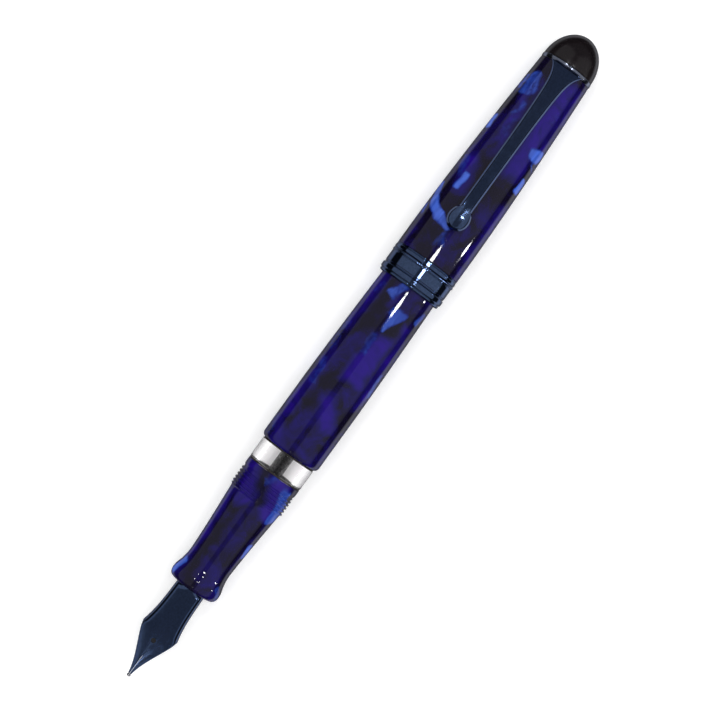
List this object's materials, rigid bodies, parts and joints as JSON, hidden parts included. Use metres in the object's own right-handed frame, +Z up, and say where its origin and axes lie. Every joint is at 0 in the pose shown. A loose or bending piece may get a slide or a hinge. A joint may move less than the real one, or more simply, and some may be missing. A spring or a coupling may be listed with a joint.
{
  "type": "fountain pen",
  "caption": "Piston-filling fountain pen with its cap posted: marbled barrel, ink window, domed cap, ball clip and slit nib.",
  "frame": {"origin": "middle of the pen's length and width, at the lowest point of the cap's band, which rests on the surface", "axes": "+X along the pen from the nib's tip to the cap's dome, +Z up, the side the clip and the nib's face are on, +Y across"},
  "size_m": [0.158, 0.0146, 0.0172],
  "materials": {
    "nib_plating": "glossy dark blue plating",
    "nib_tipping": "hard polished tipping",
    "section_resin": "polished marbled resin, dark blue",
    "barrel_resin": "polished marbled resin, dark blue",
    "knob_resin": "polished marbled resin, dark blue",
    "cap_resin": "polished marbled resin, dark blue",
    "finial_resin": "polished black resin",
    "trim_plating": "glossy dark blue plating",
    "clear_acrylic": "polished clear acrylic",
    "black_plastic": "satin moulded black",
    "liner_plastic": "satin moulded black",
    "rubber": "moulded rubber",
    "brass": "turned brass",
    "steel": "turned steel"
  },
  "bodies": {
    "pen_body": {"nib": "nib_plating", "nib_tipping_left": "nib_tipping", "nib_tipping_right": "nib_tipping", "feed": "black_plastic", "nib_collar": "black_plastic", "feed_tube": "black_plastic", "section": "section_resin", "section_seal": "rubber", "ink_window": "clear_acrylic", "barrel_seal": "rubber", "barrel": "barrel_resin", "piston_guide": "black_plastic", "guide_seal": "rubber", "knob_washer": "steel"},
    "cap": {"cap_body": "cap_resin", "cap_lip_ring": "trim_plating", "cap_band": "trim_plating", "cap_upper_ring": "trim_plating", "inner_cap": "liner_plastic", "clip_ring": "trim_plating", "finial": "finial_resin", "finial_screw": "brass"},
    "clip": {"clip_arm": "trim_plating"},
    "piston_knob": {"knob": "knob_resin", "spindle": "brass", "spindle_clip": "steel"},
    "piston": {"piston_rod": "brass", "piston_seal": "rubber"}
  },
  "joints": [
    {"name": "cap_slide", "type": "slide", "parent": "pen_body", "child": "cap", "axis": [1, 0, 0], "range_m": [0, 0.036]},
    {"name": "clip_flex", "type": "hinge", "parent": "cap", "child": "clip", "pos_m": [0.0709, 0, 0.01321], "axis": [0, 1, 0], "range_deg": [0, 3.5], "stiffness_Nm_per_rad": 1.5},
    {"name": "knob_turn", "type": "hinge", "parent": "pen_body", "child": "piston_knob", "pos_m": [0.0394, 0, 0.00732], "axis": [1, 0, 0], "range_deg": [0, 1800]},
    {"name": "piston_slide", "type": "slide", "parent": "pen_body", "child": "piston", "axis": [-1, 0, 0], "range_m": [0, 0.024]}
  ],
  "couplings": [
    {"joint": "knob_turn", "follows": "piston_slide", "rad_per_m": 1309}
  ]
}
